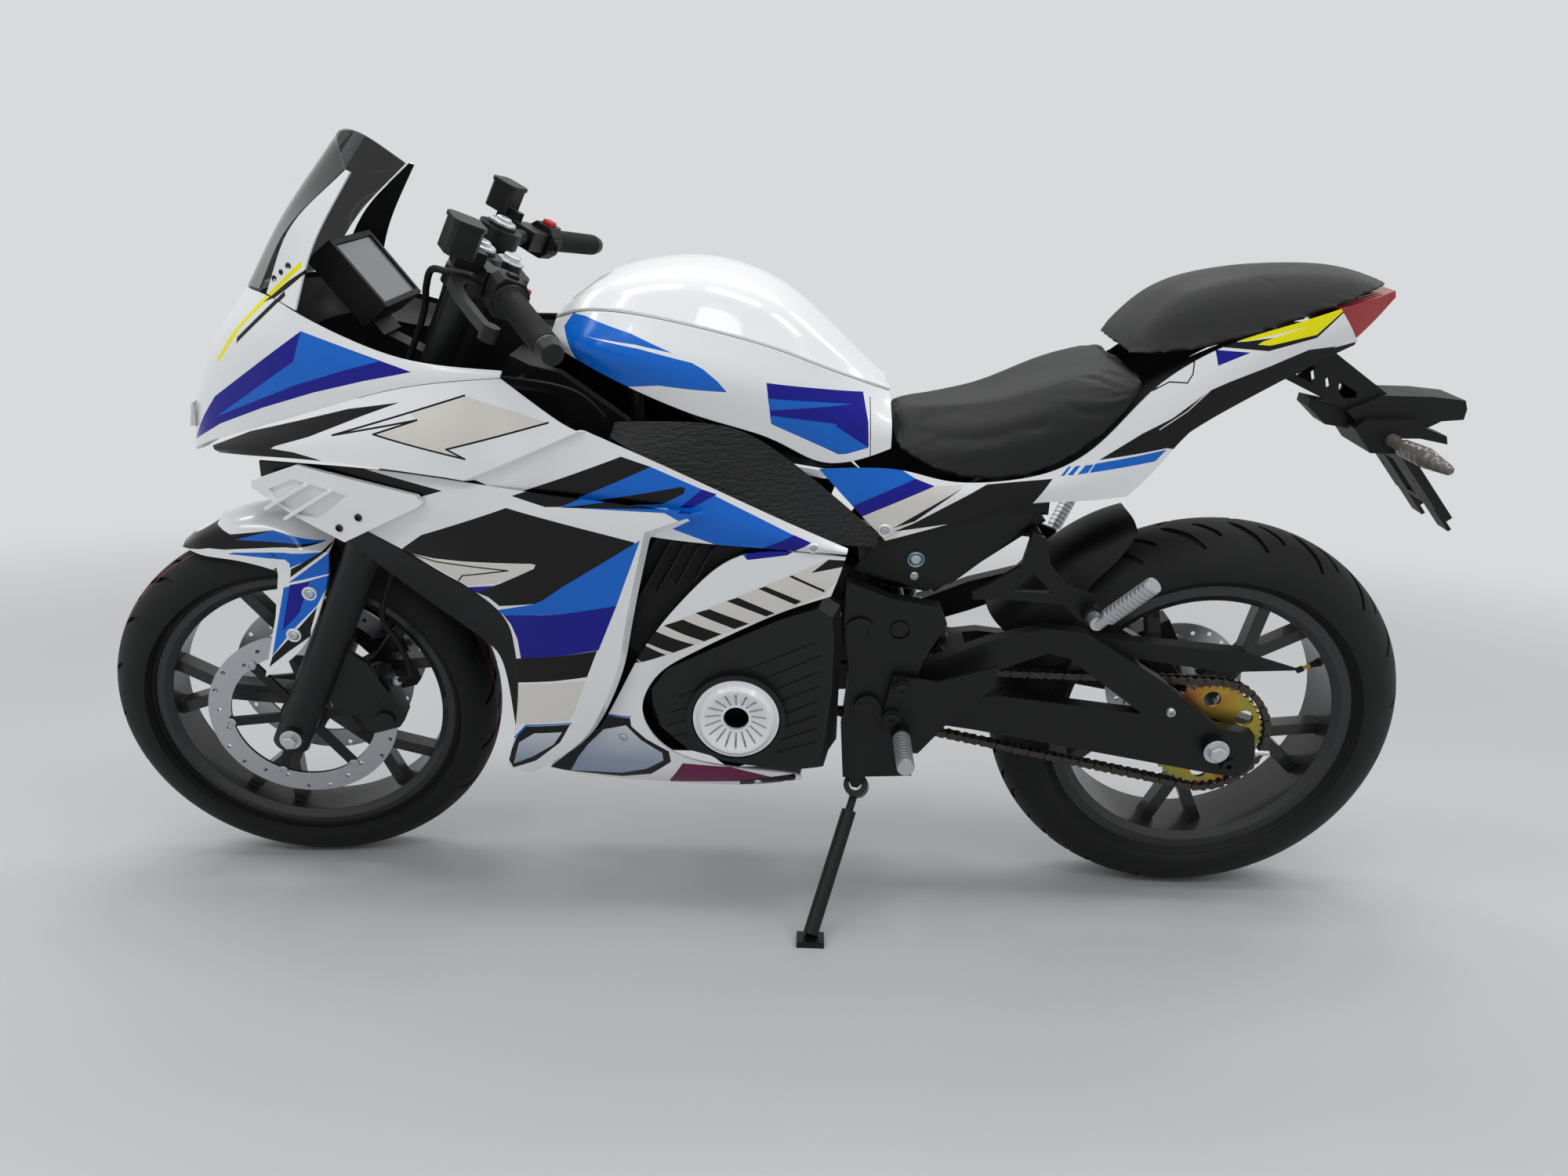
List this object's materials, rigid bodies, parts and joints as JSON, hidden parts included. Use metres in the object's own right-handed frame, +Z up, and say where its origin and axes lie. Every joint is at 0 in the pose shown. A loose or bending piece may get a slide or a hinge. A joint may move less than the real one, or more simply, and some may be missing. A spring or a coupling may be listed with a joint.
{
  "type": "electric sport motorcycle",
  "caption": "Faired electric sport motorcycle with swingarm rear end, telescopic fork, stepped seat and side stand; wheels spin, bars steer, the stand folds.",
  "frame": {"origin": "centre of the bounding box, on the floor it is parked on", "axes": "+X forward along the machine, +Y to the rider's left, +Z up from the floor"},
  "size_m": [2.0001, 0.7321, 1.121],
  "materials": {
    "main_frame": "satin",
    "pivot_plates": "satin",
    "subframe": "satin",
    "battery_block": "satin",
    "motor_block": "satin",
    "motor_covers": "satin",
    "motor_caps": "gloss",
    "upper_cowl": "gloss",
    "windscreen": "gloss",
    "headlamps": "gloss",
    "cockpit_trim": "matte",
    "dash_housing": "matte",
    "dash_display": "gloss",
    "upper_sides": "gloss",
    "front_sides": "gloss",
    "lower_sides": "gloss",
    "side_vents": "matte",
    "inner_cowls": "matte",
    "winglets": "gloss",
    "tank_body": "gloss",
    "tank_cover": "gloss",
    "knee_panels": "matte",
    "rider_seat": "satin",
    "pillion_seat": "satin",
    "tail_sides": "gloss",
    "undertail": "matte",
    "tail_lamp": "gloss",
    "plate_bracket": "matte",
    "rear_indicators": "gloss",
    "side_plates": "matte",
    "swingarm": "satin",
    "rear_hugger": "matte",
    "chain_guard": "matte",
    "chain": "brushed",
    "rear_caliper": "satin",
    "rear_shock": "satin",
    "foot_brackets": "satin",
    "footpegs": "satin",
    "fork_upper": "satin",
    "fork_lowers": "satin",
    "front_calipers": "satin",
    "front_fender": "gloss",
    "clip_ons": "satin",
    "grips": "matte",
    "levers": "satin",
    "reservoirs": "matte",
    "switch_pods": "matte",
    "brake_hoses": "matte",
    "front_tyre": "matte",
    "front_rim": "satin",
    "front_discs": "brushed",
    "rear_tyre": "matte",
    "rear_rim": "satin",
    "rear_sprocket": "brushed",
    "rear_disc": "brushed",
    "side_stand": "satin"
  },
  "bodies": {
    "chassis": {"main_frame": "main_frame", "pivot_plates": "pivot_plates", "subframe": "subframe", "battery_block": "battery_block", "motor_block": "motor_block", "motor_covers": "motor_covers", "motor_caps": "motor_caps", "upper_cowl": "upper_cowl", "windscreen": "windscreen", "headlamps": "headlamps", "cockpit_trim": "cockpit_trim", "dash_housing": "dash_housing", "dash_display": "dash_display", "upper_sides": "upper_sides", "front_sides": "front_sides", "lower_sides": "lower_sides", "side_vents": "side_vents", "inner_cowls": "inner_cowls", "winglets": "winglets", "tank_body": "tank_body", "tank_cover": "tank_cover", "knee_panels": "knee_panels", "rider_seat": "rider_seat", "pillion_seat": "pillion_seat", "tail_sides": "tail_sides", "undertail": "undertail", "tail_lamp": "tail_lamp", "plate_bracket": "plate_bracket", "rear_indicators": "rear_indicators", "side_plates": "side_plates", "swingarm": "swingarm", "rear_hugger": "rear_hugger", "chain_guard": "chain_guard", "chain": "chain", "rear_caliper": "rear_caliper", "rear_shock": "rear_shock", "foot_brackets": "foot_brackets", "footpegs": "footpegs"},
    "steering": {"fork_upper": "fork_upper", "fork_lowers": "fork_lowers", "front_calipers": "front_calipers", "front_fender": "front_fender", "clip_ons": "clip_ons", "grips": "grips", "levers": "levers", "reservoirs": "reservoirs", "switch_pods": "switch_pods", "brake_hoses": "brake_hoses"},
    "front_wheel": {"front_tyre": "front_tyre", "front_rim": "front_rim", "front_discs": "front_discs"},
    "rear_wheel": {"rear_tyre": "rear_tyre", "rear_rim": "rear_rim", "rear_sprocket": "rear_sprocket", "rear_disc": "rear_disc"},
    "side_stand": {"side_stand": "side_stand"}
  },
  "joints": [
    {"name": "steering", "type": "hinge", "parent": "chassis", "child": "steering", "pos_m": [0.40168, -0.01003, 0.83969], "axis": [-0.4305, 0.1691, 0.8866], "range_deg": [-34, 20]},
    {"name": "front_wheel_spin", "type": "hinge", "parent": "steering", "child": "front_wheel", "pos_m": [0.70857, -0.11128, 0.28615], "axis": [-0.11, 0.9651, -0.2375], "continuous": true},
    {"name": "rear_wheel_spin", "type": "hinge", "parent": "chassis", "child": "rear_wheel", "pos_m": [-0.6862, -0.11116, 0.30952], "axis": [0, 0.9823, -0.1874], "continuous": true},
    {"name": "side_stand_fold", "type": "hinge", "parent": "chassis", "child": "side_stand", "pos_m": [-0.1587, 0.00547, 0.20583], "axis": [0.1396, 0.8675, 0.4775], "range_deg": [0, 108]}
  ]
}
